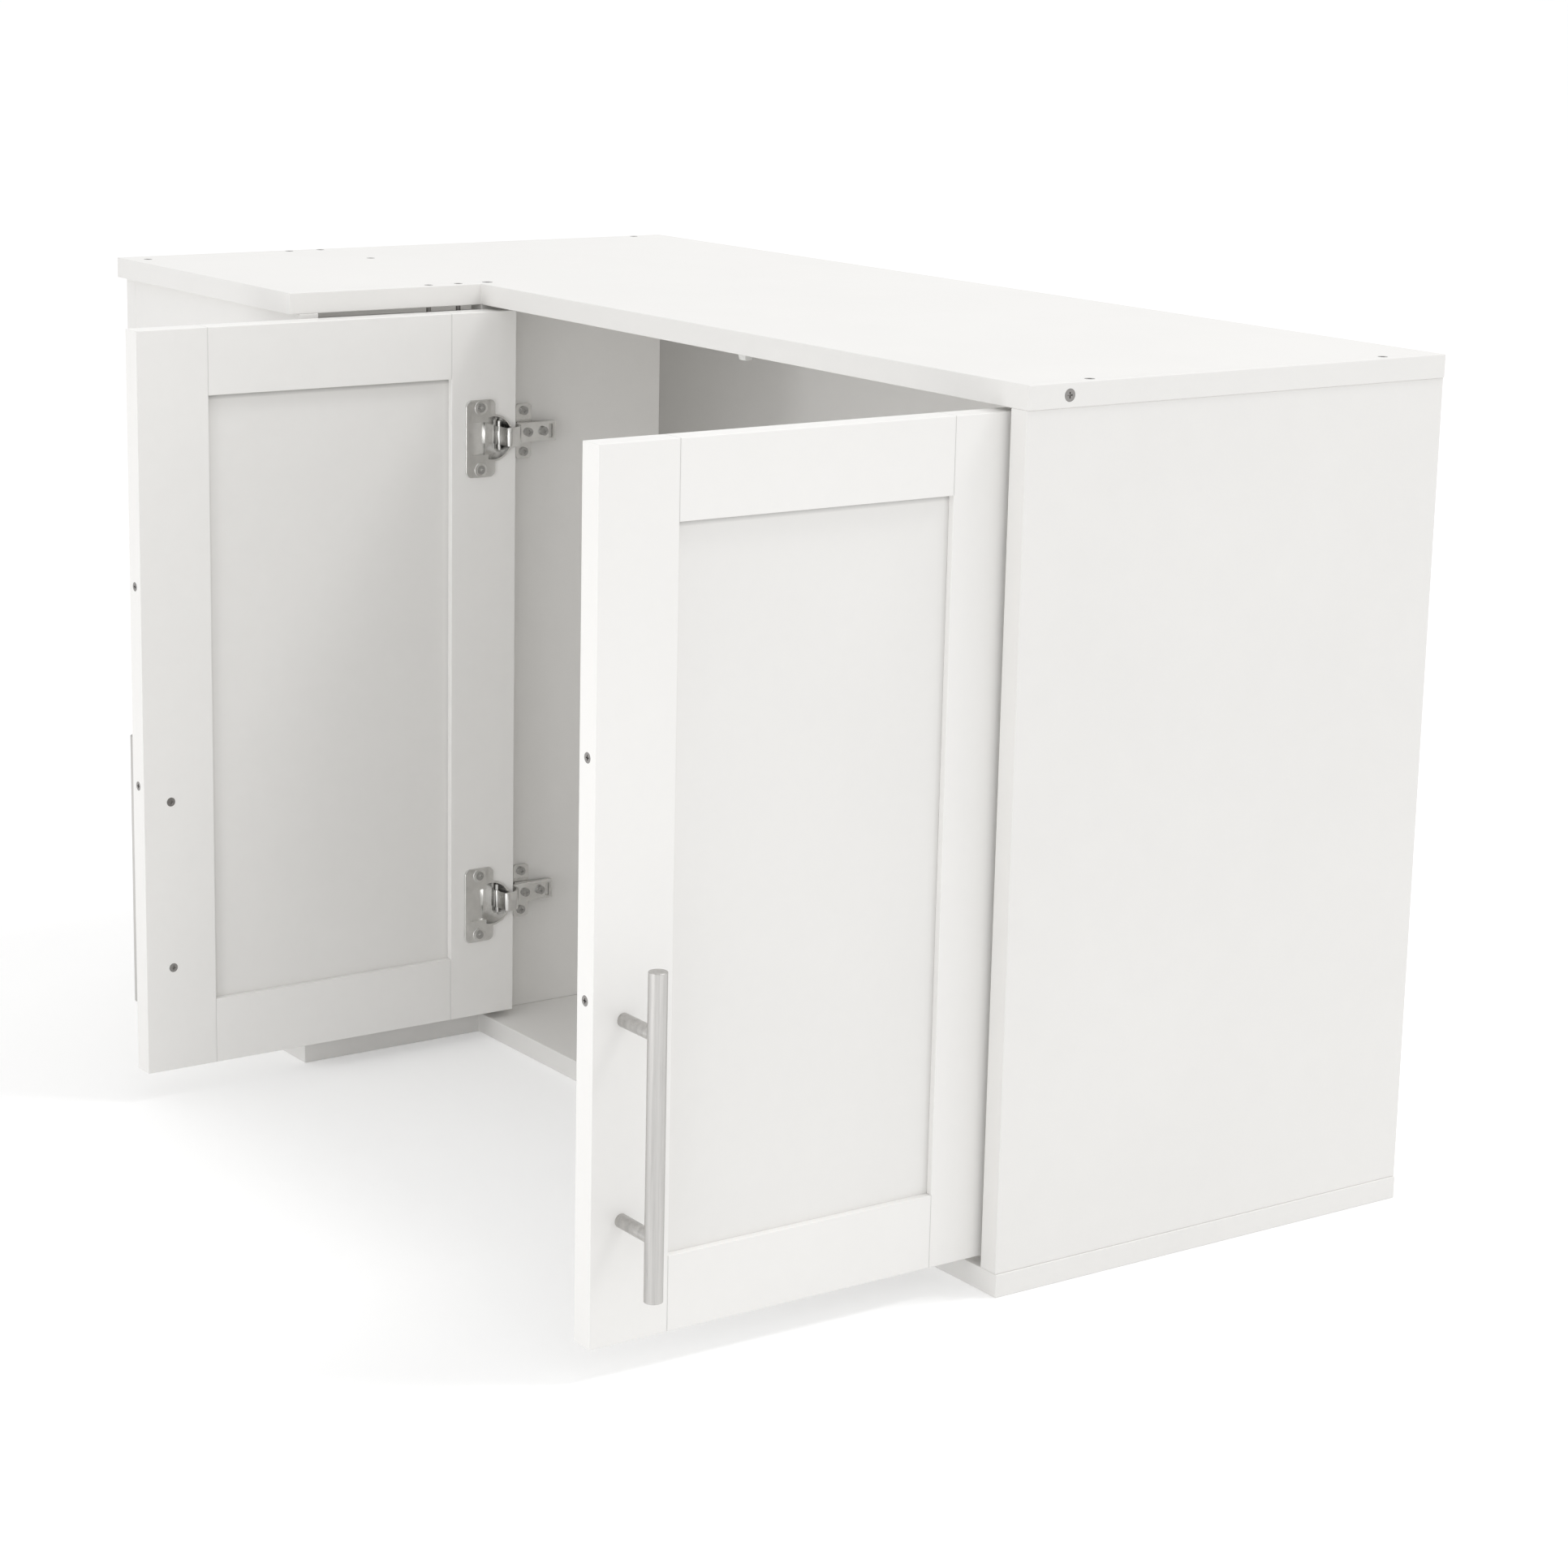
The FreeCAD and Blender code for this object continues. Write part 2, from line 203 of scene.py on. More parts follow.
class Paint:
    """One material under construction."""

    def __init__(self, name):
        self.material = bpy.data.materials.new(name)
        self.material.use_nodes = True
        self.tree = self.material.node_tree
        self.tree.nodes.clear()

    def node(self, kind, settings=None, inputs=None):
        made = self.tree.nodes.new(kind)
        for key, value in (settings or {}).items():
            setattr(made, key, value)
        for key, value in (inputs or {}).items():
            if isinstance(value, Signal):
                self.tree.links.new(value.socket, made.inputs[key])
            else:
                made.inputs[key].default_value = value
        return Node(self, made)

    def place(self, stretch=(1.0, 1.0, 1.0)):
        coordinates = self.node("ShaderNodeTexCoord").out("Object")
        return self.node("ShaderNodeMapping", {"vector_type": "POINT"},
                         {"Vector": coordinates, "Scale": stretch}).out("Vector")

    def noise(self, vector, scale, detail, roughness):
        return self.node("ShaderNodeTexNoise", {"noise_dimensions": "3D"},
                         {"Vector": vector, "Scale": scale, "Detail": detail,
                          "Roughness": roughness}).out("Fac")

    def spread(self, signal, low=0.0, high=1.0):
        """Noise stretched from its usual range to another one."""
        return self.node("ShaderNodeMapRange", {"clamp": True},
                         {"Value": signal, "From Min": NOISE_LOW, "From Max": NOISE_HIGH,
                          "To Min": low, "To Max": high}).out("Result")

    def blend(self, factor, first, second):
        mixed = self.node("ShaderNodeMix", {"data_type": "RGBA", "blend_type": "MIX"})
        sockets = mixed.node.inputs
        self.tree.links.new(factor.socket, sockets[MIX_FACTOR])
        for socket, colour in ((sockets[COLOUR_FIRST], first), (sockets[COLOUR_SECOND], second)):
            if isinstance(colour, Signal):
                self.tree.links.new(colour.socket, socket)
            else:
                socket.default_value = (*colour, 1.0)
        return Signal(self, mixed.node.outputs[COLOUR_RESULT])

    def bump(self, height, strength, distance):
        return self.node("ShaderNodeBump", None,
                         {"Height": height, "Strength": strength, "Distance": distance}).out("Normal")

    def finish(self, inputs):
        shader = self.node("ShaderNodeBsdfPrincipled", None, inputs).out("BSDF")
        self.node("ShaderNodeOutputMaterial", None, {"Surface": shader})
        return self.material


def shade(colour, amount):
    return tuple(min(1.0, part * amount) for part in colour)


def shades(colour, amounts):
    return [shade(colour, amount) for amount in amounts]


def weigh(first, second, share):
    """Two signals mixed, the first with its share of the whole."""
    return first * share + second * (1.0 - share)


def foil_board(name, colour):
    """White melamine or foil: faint clouding, a fine pore and uneven gloss."""
    paint = Paint(name)
    place = paint.place()
    cloud = paint.noise(place, *BOARD_CLOUD)
    drift = paint.noise(place, *BOARD_DRIFT)
    pores = paint.noise(place, *BOARD_PORES)
    tone = paint.spread(weigh(cloud, drift, BOARD_CLOUD_SHARE))
    body = paint.blend(tone, *shades(colour, BOARD_TONES))
    pitted = paint.spread(pores, 0.0, PORE_STRENGTH)
    return paint.finish({
        "Base Color": paint.blend(pitted, body, shade(colour, PORE_TONE)),
        "Roughness": paint.spread(drift, *BOARD_ROUGHNESS),
        "Specular IOR Level": BOARD_SPECULAR,
        "Normal": paint.bump(weigh(pores, drift, BOARD_PORE_SHARE), *BOARD_BUMP),
    })


def line_at(signal, level, width):
    """A line that fades out on both sides of a level, its half width in millimetres."""
    return (1.0 - abs(signal - level) * (1.0 / (width * MM))).at_least(0.0)


def frame_joint_shade(along, up, joints, opening):
    """Painted shade in thin upright lines where rails meet stiles, left out at the height of the panel.
    """
    near, far = [line_at(along, joint, JOINT_WIDTH) for joint in joints]
    bottom, top = opening
    # The lines are painted shade in the joints
    return (near + far) * (1.0 - up.over(bottom) + up.over(top)) * JOINT_PAINTED_SHADE


def panel_groove_shadow(along, up, joints, opening):
    """Painted shadow in lines where the panel slips into its groove, strongest under the top rail that
    casts it, with painted shade along the stiles.
    """
    sides = line_at(along, joints[0], GROOVE_WIDTH) + line_at(along, joints[1], GROOVE_WIDTH)
    # Painted shadow under the top rail, painted shade along the stiles
    return line_at(up, opening[1], GROOVE_WIDTH) * GROOVE_PAINTED_SHADOW + sides * JOINT_PAINTED_SHADE


def lacquered_door(name, colour, lines, joints, opening):
    """Smooth foil over fibreboard; the given lines add painted shade, in the fine joints of the frame
    and along the groove of the panel.
    """
    paint = Paint(name)
    place = paint.place()
    parted = paint.node("ShaderNodeSeparateXYZ", None, {"Vector": place})
    painted_shade = lines(parted.out("Y"), parted.out("Z"), joints, opening)
    cloud = paint.noise(place, *DOOR_CLOUD)
    ripple = paint.noise(place, *DOOR_RIPPLE)
    skin = paint.noise(place, *DOOR_SKIN)
    tone = paint.spread(weigh(cloud, ripple, DOOR_CLOUD_SHARE))
    body = paint.blend(tone, *shades(colour, DOOR_TONES))
    return paint.finish({
        # Base colour darkened towards the painted shade tone along the lines
        "Base Color": paint.blend(painted_shade, body, shade(colour, PAINTED_SHADE_TONE)),
        "Roughness": paint.spread(ripple, *DOOR_ROUGHNESS),
        "Specular IOR Level": DOOR_SPECULAR,
        "Normal": paint.bump(weigh(skin, ripple, DOOR_SKIN_SHARE), *DOOR_BUMP),
    })


def brushed_bar(name, colour):
    """Satin steel brushed along its length, with painted reflections as lighter and darker bands."""
    paint = Paint(name)
    drawn = paint.place(ALONG_BAR)
    strokes = paint.noise(drawn, *BAR_STROKES)
    reflection_bands = paint.noise(drawn, *BAR_REFLECTION_BANDS)
    patches = paint.noise(paint.place(), *BAR_PATCHES)
    # Painted reflections in broad bands, mixed with the brush strokes
    strokes_and_reflections = paint.spread(weigh(reflection_bands, strokes, BAR_REFLECTION_SHARE))
    return paint.finish({
        "Base Color": paint.blend(strokes_and_reflections, *shades(colour, BAR_STROKE_AND_REFLECTION_TONES)),
        "Metallic": 1.0,
        "Roughness": paint.spread(weigh(strokes, patches, BAR_STROKE_SHARE), *BAR_ROUGHNESS),
        "Normal": paint.bump(strokes, *BAR_BUMP),
    })


def plated_steel(name, colour, roughness):
    """Pressed and plated steel with a soft mottled sheen."""
    paint = Paint(name)
    place = paint.place()
    cloud = paint.noise(place, *PLATE_CLOUD)
    speck = paint.noise(place, *PLATE_SPECK)
    return paint.finish({
        "Base Color": paint.blend(paint.spread(cloud), *shades(colour, PLATE_TONES)),
        "Metallic": 1.0,
        "Roughness": paint.spread(weigh(cloud, speck, PLATE_CLOUD_SHARE), *roughness),
        "Normal": paint.bump(weigh(speck, cloud, PLATE_SPECK_SHARE), *PLATE_BUMP),
    })


def moulded_plastic(name, colour):
    """Pale plastic with a fine skin."""
    paint = Paint(name)
    place = paint.place()
    cloud = paint.noise(place, *PLASTIC_CLOUD)
    skin = paint.noise(place, *PLASTIC_SKIN)
    return paint.finish({
        "Base Color": paint.blend(paint.spread(cloud), *shades(colour, PLASTIC_TONES)),
        "Roughness": paint.spread(skin, *PLASTIC_ROUGHNESS),
        "Normal": paint.bump(skin, *PLASTIC_BUMP),
    })


def wear(node, material):
    """Give a CAD node its finish."""
    thing = bpy.data.objects[node]
    thing.data.materials.clear()
    thing.data.materials.append(material)


# How the modelled pieces are made: sides and steps of round forms, angles in degrees,
# lengths in millimetres, and the cosine from which two directions count as one
DISC_SIDES = 64
SMALL_DISC_SIDES = 40
CORNER_STEPS = 8
EASE_STEPS = 3
EASE_SEGMENTS = 2
SHARP_ANGLE = 50.0
SMOOTH_ANGLE = 32.0
LEVEL_ANGLE = 0.1
WELD = 0.005
NEAR_RAMP = 0.1
NEAR_END = 1.0
PARALLEL = 0.99
ALONG_X = (1.0, 0.0, 0.0)
ALONG_Y = (0.0, 1.0, 0.0)
ALONG_Z = (0.0, 0.0, 1.0)
QUARTER_TURN = math.pi / 2.0
TURN_X = (0.0, QUARTER_TURN, 0.0)
TURN_Z = (0.0, 0.0, 0.0)
MIRROR_X = (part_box("left_hinge_stile")[0][0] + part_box("right_hinge_stile")[1][0]) / 2.0


# Modelling by hand: primitives, edit mode and applied modifiers
def begin(name, primitive, **options):
    """Add one primitive with nothing else selected and its place in its mesh."""
    bpy.ops.object.select_all(action="DESELECT")
    primitive(**options)
    thing = bpy.context.object
    thing.name = name
    bpy.ops.object.transform_apply(location=True, rotation=True, scale=True)
    return thing


def block(name, low, high):
    """A box between two corners given in millimetres."""
    middle = [(a + b) / 2.0 * MM for a, b in zip(low, high)]
    size = [(b - a) * MM for a, b in zip(low, high)]
    return begin(name, bpy.ops.mesh.primitive_cube_add, size=1.0, location=middle, scale=size)


def disc(name, radius, start, depth, turn, sides=DISC_SIDES):
    """A cylinder whose lower end is centred on a point given in millimetres."""
    axis = Euler(turn).to_matrix() @ Vector(ALONG_Z)
    middle = (Vector(start) + axis * depth / 2.0) * MM
    return begin(name, bpy.ops.mesh.primitive_cylinder_add, vertices=sides, radius=radius * MM,
                 depth=depth * MM, location=middle, rotation=turn)


def pick(thing):
    """Select one piece alone and make it the active one."""
    bpy.ops.object.select_all(action="DESELECT")
    bpy.context.view_layer.objects.active = thing
    thing.select_set(True)


def edit(thing, kind, test):
    """Open a mesh with only the faces, edges or points selected that pass a test."""
    pick(thing)
    bpy.ops.object.mode_set(mode="EDIT")
    bpy.ops.mesh.select_mode(type=kind)
    bpy.ops.mesh.select_all(action="DESELECT")
    form = bmesh.from_edit_mesh(thing.data)
    parts = {"FACE": form.faces, "EDGE": form.edges, "VERT": form.verts}[kind]
    for part in parts:
        part.select_set(test(part))
    bmesh.update_edit_mesh(thing.data)


def close():
    bpy.ops.object.mode_set(mode="OBJECT")


def faces_towards(thing, way):
    aim = Vector(way)
    edit(thing, "FACE", lambda face: face.normal.dot(aim) > PARALLEL)


def edges_along(thing, way, keep=lambda middle: True):
    """Select the straight edges that run one way and lie where they are wanted."""
    aim = Vector(way)

    def runs(edge):
        run = edge.verts[1].co - edge.verts[0].co
        middle = (edge.verts[0].co + edge.verts[1].co) / 2.0 / MM
        return abs(run.normalized().dot(aim)) > PARALLEL and keep(middle)

    edit(thing, "EDGE", runs)


def round_off(offset, segments):
    bpy.ops.mesh.bevel(offset=offset * MM, segments=segments, affect="EDGES", clamp_overlap=True)
    close()


def combine(thing, tool, operation):
    """Join, cut or trim a piece with a tool that is used up."""
    pick(thing)
    bpy.ops.object.modifier_add(type="BOOLEAN")
    modifier = thing.modifiers[-1]
    modifier.operation = operation
    modifier.solver = "EXACT"
    modifier.object = tool
    bpy.ops.object.modifier_apply(modifier=modifier.name)
    bpy.data.objects.remove(tool)
    return thing


def tidy_edges(thing, width, angle):
    """Ease the sharp edges and smooth what lies between them."""
    pick(thing)
    bpy.ops.object.modifier_add(type="BEVEL")
    modifier = thing.modifiers[-1]
    modifier.width = width * MM
    modifier.segments = EASE_SEGMENTS
    modifier.limit_method = "ANGLE"
    modifier.angle_limit = math.radians(angle)
    modifier.use_clamp_overlap = True
    bpy.ops.object.modifier_apply(modifier=modifier.name)
    edit(thing, "FACE", lambda face: True)
    bpy.ops.mesh.remove_doubles(threshold=WELD * MM)
    bpy.ops.mesh.normals_make_consistent(inside=False)
    close()
    bpy.ops.object.shade_smooth_by_angle(angle=math.radians(SMOOTH_ANGLE))
    return thing


def copy_to(source, name, shift, mirrored):
    """Copy a finished piece to its place, mirrored for the right-hand door."""
    pick(source)
    bpy.ops.object.duplicate(linked=False)
    piece = bpy.context.object
    piece.name = name
    bpy.ops.transform.translate(value=shift)
    bpy.ops.object.transform_apply(location=True, rotation=True, scale=True)
    if mirrored:
        edit(piece, "FACE", lambda face: True)
        bpy.ops.transform.resize(value=(-1.0, 1.0, 1.0), center_override=(MIRROR_X, 0.0, 0.0))
        bpy.ops.mesh.normals_make_consistent(inside=False)
        close()
    return piece


def settle(piece, node, body, material):
    """Seat a finished piece on its body, in place of a CAD node."""
    piece.data.materials.clear()
    piece.data.materials.append(material)
    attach(piece, body)
    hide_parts(node)


# Pressed cup, in millimetres from the hinge edge on the inner face of the door, and how
# much of the sheet and of the seats is rounded
CUP_RADIUS = 17.5
CUP_WALL = 0.8
CUP_DEPTH = 13.0
CUP_MIDDLE = -21.0
CUP_MOUTH = -25.4
RIM_RADIUS = 18.3
FLANGE_LOW = -45.0
FLANGE_HIGH = -19.0
FLANGE_HALF = 30.0
FLANGE_SHEET = 1.5
FLANGE_CORNER = 5.0
PAD_RADIUS = 5.6
PAD_RISE = 0.5
PAD_HEIGHT = 24.0
PAD_MIDDLE = -32.0
DISH_LOW = -41.5
DISH_HALF = 12.6
DISH_DEPTH = 6.0
DISH_FLOOR = 0.2
DISH_CORNER = 3.5
RAMP_START = -33.2
OVERRUN = 3.0
CUP_EASE = 0.18
SHEET_SHARE = 0.4
PAD_SHARE = 0.8

# Curved arm, in millimetres from the hinge pin, and the steps of its bends and corners
PIN_FROM_EDGE = 9.2
PIN_FROM_INNER = 9.404
EYE_RADIUS = 2.4
ARM_SHEET = 1.8
ARM_HALF = 7.6
LEG_HALF = 7.0
NECK_RADIUS = 14.5
BEND_RADIUS = 1.9
WEB_X = -4.29
WEB_END = 53.6
CHEEK_LOW = -10.1
CHEEK_INSIDE = 6.1
CHEEK_CORNER = 4.5
CHEEK_STEPS = 6
WINDOW = (46.9, 50.4, 5.4)
WINDOW_CORNER = 1.0
WINDOW_STEPS = 4
PIN_BORE = 1.55
BEND_STEPS = 4
NECK_STEPS = 14
LEG_MARGIN = 1.01
ARM_EASE = 0.3

# Door stop under the top board
STOP_SLOPE = 3.4
STOP_EASE = 0.7
STOP_SHARP_ANGLE = 20.0


def press_flange():
    """Flat flange with round corners, a soft edge and two raised screw seats."""
    piece = block("cup", (0.0, FLANGE_LOW, -FLANGE_HALF), (FLANGE_SHEET, FLANGE_HIGH, FLANGE_HALF))
    edges_along(piece, ALONG_X)
    round_off(FLANGE_CORNER, CORNER_STEPS)
    faces_towards(piece, ALONG_X)
    round_off(FLANGE_SHEET * SHEET_SHARE, EASE_STEPS)
    for level in (-PAD_HEIGHT, PAD_HEIGHT):
        seat = disc("seat", PAD_RADIUS, (FLANGE_SHEET / 2.0, PAD_MIDDLE, level),
                    FLANGE_SHEET / 2.0 + PAD_RISE, TURN_X, SMALL_DISC_SIDES)
        faces_towards(seat, ALONG_X)
        round_off(PAD_RISE * PAD_SHARE, EASE_STEPS)
        combine(piece, seat, "UNION")
    return piece


def dish_tool():
    """The dish to press: flat where it lies on the wood, then a ramp into the well."""
    tool = block("dish", (-DISH_DEPTH, DISH_LOW, -DISH_HALF), (OVERRUN, CUP_MIDDLE, DISH_HALF))
    edit(tool, "FACE", lambda face: True)
    bpy.ops.mesh.bisect(plane_co=(0.0, RAMP_START * MM, 0.0), plane_no=ALONG_Y)
    close()
    edit(tool, "VERT",
         lambda point: point.co.x < 0.0 and point.co.y < (RAMP_START + NEAR_RAMP) * MM)
    bpy.ops.transform.translate(value=((DISH_DEPTH + DISH_FLOOR) * MM, 0.0, 0.0))
    close()
    edges_along(tool, ALONG_X, lambda middle: middle.y < DISH_LOW + NEAR_END)
    round_off(DISH_CORNER, CORNER_STEPS)
    return tool


def press_cup():
    """Hinge cup: flange, rim, deep well and the sloping dish that leads into it."""
    piece = press_flange()
    rim = disc("rim", RIM_RADIUS, (0.0, CUP_MIDDLE, 0.0), FLANGE_SHEET, TURN_X)
    faces_towards(rim, ALONG_X)
    round_off(FLANGE_SHEET * SHEET_SHARE, EASE_STEPS)
    combine(piece, rim, "UNION")
    shell = disc("shell", CUP_RADIUS, (-CUP_DEPTH, CUP_MIDDLE, 0.0),
                 CUP_DEPTH + FLANGE_SHEET / 2.0, TURN_X)
    combine(piece, shell, "UNION")
    well = disc("well", CUP_RADIUS - CUP_WALL, (CUP_WALL - CUP_DEPTH, CUP_MIDDLE, 0.0),
                CUP_DEPTH + OVERRUN, TURN_X)
    mouth = block("mouth", (-CUP_DEPTH, CUP_MOUTH, -CUP_RADIUS), (OVERRUN, 0.0, CUP_RADIUS))
    combine(piece, combine(well, mouth, "INTERSECT"), "DIFFERENCE")
    combine(piece, dish_tool(), "DIFFERENCE")
    return tidy_edges(piece, CUP_EASE, SHARP_ANGLE)


def spin_about(x, y, angle, steps):
    """Sweep the selected end face about an upright line."""
    bpy.ops.mesh.spin(steps=steps, angle=angle, center=(x * MM, y * MM, 0.0), axis=(0.0, 0.0, -1.0))


def extrude_by(across, along):
    """Push the selected end face straight on."""
    shift = (across * MM, along * MM, 0.0)
    bpy.ops.mesh.extrude_region_move(TRANSFORM_OT_translate={"value": shift})


def bend_arm():
    """Strip steel run by extrusions and spins: leg, round neck and straight web."""
    half = ARM_SHEET / 2.0
    piece = block("arm", (0.0, -half, -ARM_HALF), (NECK_RADIUS - BEND_RADIUS, half, ARM_HALF))
    faces_towards(piece, ALONG_X)
    spin_about(NECK_RADIUS - BEND_RADIUS, BEND_RADIUS, QUARTER_TURN, BEND_STEPS)
    spin_about(0.0, BEND_RADIUS, QUARTER_TURN, NECK_STEPS)
    turn_x = WEB_X + BEND_RADIUS
    turn_y = BEND_RADIUS + NECK_RADIUS + BEND_RADIUS
    extrude_by(turn_x, 0.0)
    spin_about(turn_x, turn_y, -QUARTER_TURN, BEND_STEPS)
    extrude_by(0.0, WEB_END - turn_y)
    close()
    # The narrow margin picks the leg alone, and not the first ring of the bend
    edit(piece, "VERT", lambda point: point.co.y < half * LEG_MARGIN * MM)
    bpy.ops.transform.resize(value=(1.0, 1.0, LEG_HALF / ARM_HALF), center_override=(0.0, 0.0, 0.0))
    bpy.ops.mesh.select_all(action="SELECT")
    bpy.ops.mesh.normals_make_consistent(inside=False)
    close()
    return piece


def form_arm():
    """Finished arm with its eye, cheeks and end window."""
    piece = bend_arm()
    eye = disc("eye", EYE_RADIUS, (0.0, 0.0, -LEG_HALF), 2.0 * LEG_HALF, TURN_Z, SMALL_DISC_SIDES)
    combine(piece, eye, "UNION")
    cheek_start = 2.0 * BEND_RADIUS + NECK_RADIUS + ARM_SHEET
    for way in (-1.0, 1.0):
        inside, outside = sorted((way * CHEEK_INSIDE, way * ARM_HALF))
        cheek = block("cheek", (CHEEK_LOW, cheek_start, inside), (WEB_X, WEB_END, outside))
        edges_along(cheek, ALONG_Z, lambda middle: middle.x < CHEEK_LOW + NEAR_END)
        round_off(CHEEK_CORNER, CHEEK_STEPS)
        combine(piece, cheek, "UNION")
    face = WEB_X + ARM_SHEET / 2.0
    near, far, half = WINDOW
    window = block("window", (WEB_X - ARM_SHEET, near, -half), (face + ARM_SHEET, far, half))
    edges_along(window, ALONG_X)
    round_off(WINDOW_CORNER, WINDOW_STEPS)
    combine(piece, window, "DIFFERENCE")
    bore = disc("bore", PIN_BORE, (0.0, 0.0, -ARM_HALF - OVERRUN),
                2.0 * (ARM_HALF + OVERRUN), TURN_Z, SMALL_DISC_SIDES)
    combine(piece, bore, "DIFFERENCE")
    edit(piece, "FACE", lambda face: True)
    bpy.ops.mesh.dissolve_limited(angle_limit=math.radians(LEVEL_ANGLE))
    close()
    return tidy_edges(piece, ARM_EASE, SHARP_ANGLE)


def mould_stop():
    """Small moulded stop with one sloping side and soft edges."""
    low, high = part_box("door_stop")
    middle_x, middle_z = [(low[axis] + high[axis]) / 2.0 / MM for axis in (0, 2)]
    piece = block("door_stop_moulded", [part / MM for part in low], [part / MM for part in high])
    edges_along(piece, ALONG_Y, lambda middle: middle.x < middle_x and middle.z < middle_z)
    bpy.ops.transform.translate(value=(STOP_SLOPE * MM, 0.0, 0.0))
    close()
    return tidy_edges(piece, STOP_EASE, STOP_SHARP_ANGLE)


class CabinetColours(bpy.types.PropertyGroup):
    board: FloatVectorProperty(name="Boards", description="Colour of the carcass boards",
                               subtype="COLOR", default=(0.862, 0.852, 0.832), min=0.0, max=1.0)
    door: FloatVectorProperty(name="Door frames", description="Colour of the stiles and rails",
                              subtype="COLOR", default=(0.91, 0.9, 0.88), min=0.0, max=1.0)
    door_panel: FloatVectorProperty(name="Door panels", description="Colour of the thin panels",
                                    subtype="COLOR", default=(0.862, 0.852, 0.832), min=0.0, max=1.0)
    handle: FloatVectorProperty(name="Handles", description="Colour of the brushed handles",
                                subtype="COLOR", default=(0.53, 0.52, 0.505), min=0.0, max=1.0)
    hinge: FloatVectorProperty(name="Hinges", description="Colour of the plated hinges",
                               subtype="COLOR", default=(0.72, 0.715, 0.7), min=0.0, max=1.0)
    screw: FloatVectorProperty(name="Screws", description="Colour of the screw heads",
                               subtype="COLOR", default=(0.3, 0.29, 0.28), min=0.0, max=1.0)
    plastic: FloatVectorProperty(name="Door stop", description="Colour of the white plastic stop",
                                 subtype="COLOR", default=(0.86, 0.86, 0.84), min=0.0, max=1.0)
    floor: FloatVectorProperty(name="Floor", description="Colour of the pale floor",
                               subtype="COLOR", default=(0.9, 0.9, 0.9), min=0.0, max=1.0)


class CabinetStage(bpy.types.PropertyGroup):
    lens: FloatProperty(name="Lens", description="Focal length in millimetres on a 36 mm frame",
                        default=82.31, min=1.0)
    shift_across: FloatProperty(name="Shift across", description="Sideways shift of the frame",
                                default=0.0497)
    shift_up: FloatProperty(name="Shift up", description="Upward shift of the frame",
                            default=-0.0497)
    floor_size: FloatProperty(name="Floor", description="Width of the floor", unit="LENGTH",
                              default=60.0, min=1.0)


class CABINET_OT_boards(bpy.types.Operator):
    """Finish the boards of the carcass"""
    bl_idname = "cabinet.boards"
    bl_label = "Carcass boards"

    def execute(self, context):
        finish = foil_board("carcass_foil", context.scene.cabinet_colours.board)
        for node in BOARD_NODES:
            wear(node, finish)
        return {"FINISHED"}


class CABINET_OT_doors(bpy.types.Operator):
    """Finish the frames and panels of both doors"""
    bl_idname = "cabinet.doors"
    bl_label = "Framed doors"

    def execute(self, context):
        colours = context.scene.cabinet_colours
        joints = (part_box("left_free_stile")[1][1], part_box("left_hinge_stile")[0][1])
        opening = (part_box("left_bottom_rail")[1][2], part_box("left_top_rail")[0][2])
        frame_foil = lacquered_door("door_frame_foil", colours.door, frame_joint_shade, joints, opening)
        panel_foil = lacquered_door("door_panel_foil", colours.door_panel, panel_groove_shadow, joints, opening)
        for side in SIDES:
            wear(side + "_panel", panel_foil)
            for node in DOOR_FRAME_NODES:
                wear(side + "_" + node, frame_foil)
        return {"FINISHED"}


class CABINET_OT_handles(bpy.types.Operator):
    """Finish the bar handles"""
    bl_idname = "cabinet.handles"
    bl_label = "Bar handles"

    def execute(self, context):
        finish = brushed_bar("handle_steel", context.scene.cabinet_colours.handle)
        for side in SIDES:
            wear(side + "_handle_bar", finish)
            wear(side + "_handle_posts", finish)
        return {"FINISHED"}


class CABINET_OT_hinges(bpy.types.Operator):
    """Finish the concealed hinges"""
    bl_idname = "cabinet.hinges"
    bl_label = "Concealed hinges"

    def execute(self, context):
        finish = plated_steel("hinge_nickel", context.scene.cabinet_colours.hinge, HINGE_ROUGHNESS)
        cup = press_cup()
        arm = form_arm()
        for side in SIDES:
            for level in LEVELS:
                stem = "%s_%s_hinge_" % (side, level)
                for part in ("plate", "pin"):
                    wear(stem + part, finish)
                low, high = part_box("left_%s_hinge_pin" % level)
                pin = Vector([(a + b) / 2.0 for a, b in zip(low, high)])
                edge = pin + Vector((PIN_FROM_INNER, PIN_FROM_EDGE, 0.0)) * MM
                pressed = copy_to(cup, stem + "cup_pressed", edge, side == "right")
                settle(pressed, stem + "cup", side + "_door", finish)
                bent = copy_to(arm, stem + "arm_bent", pin, side == "right")
                settle(bent, stem + "arm", "cabinet", finish)
        bpy.data.objects.remove(cup)
        bpy.data.objects.remove(arm)
        return {"FINISHED"}


class CABINET_OT_screws(bpy.types.Operator):
    """Finish the screws, those of the hinges a little brighter"""
    bl_idname = "cabinet.screws"
    bl_label = "Screws"

    def execute(self, context):
        colours = context.scene.cabinet_colours
        finish = plated_steel("screw_steel", colours.screw, SCREW_ROUGHNESS)
        bright = plated_steel("hinge_screw_steel", shade(colours.hinge, HINGE_SCREW_TONE),
                              HINGE_SCREW_ROUGHNESS)
        for node in ("top_screws", "end_face_screw"):
            wear(node, finish)
        for side in SIDES:
            for node in SCREW_NODES:
                wear(side + "_" + node, finish)
            for node in HINGE_SCREW_NODES:
                wear(side + "_" + node, bright)
        return {"FINISHED"}


class CABINET_OT_door_stop(bpy.types.Operator):
    """Finish the plastic stop behind the doors"""
    bl_idname = "cabinet.door_stop"
    bl_label = "Door stop"

    def execute(self, context):
        finish = moulded_plastic("stop_plastic", context.scene.cabinet_colours.plastic)
        settle(mould_stop(), "door_stop", "cabinet", finish)
        return {"FINISHED"}


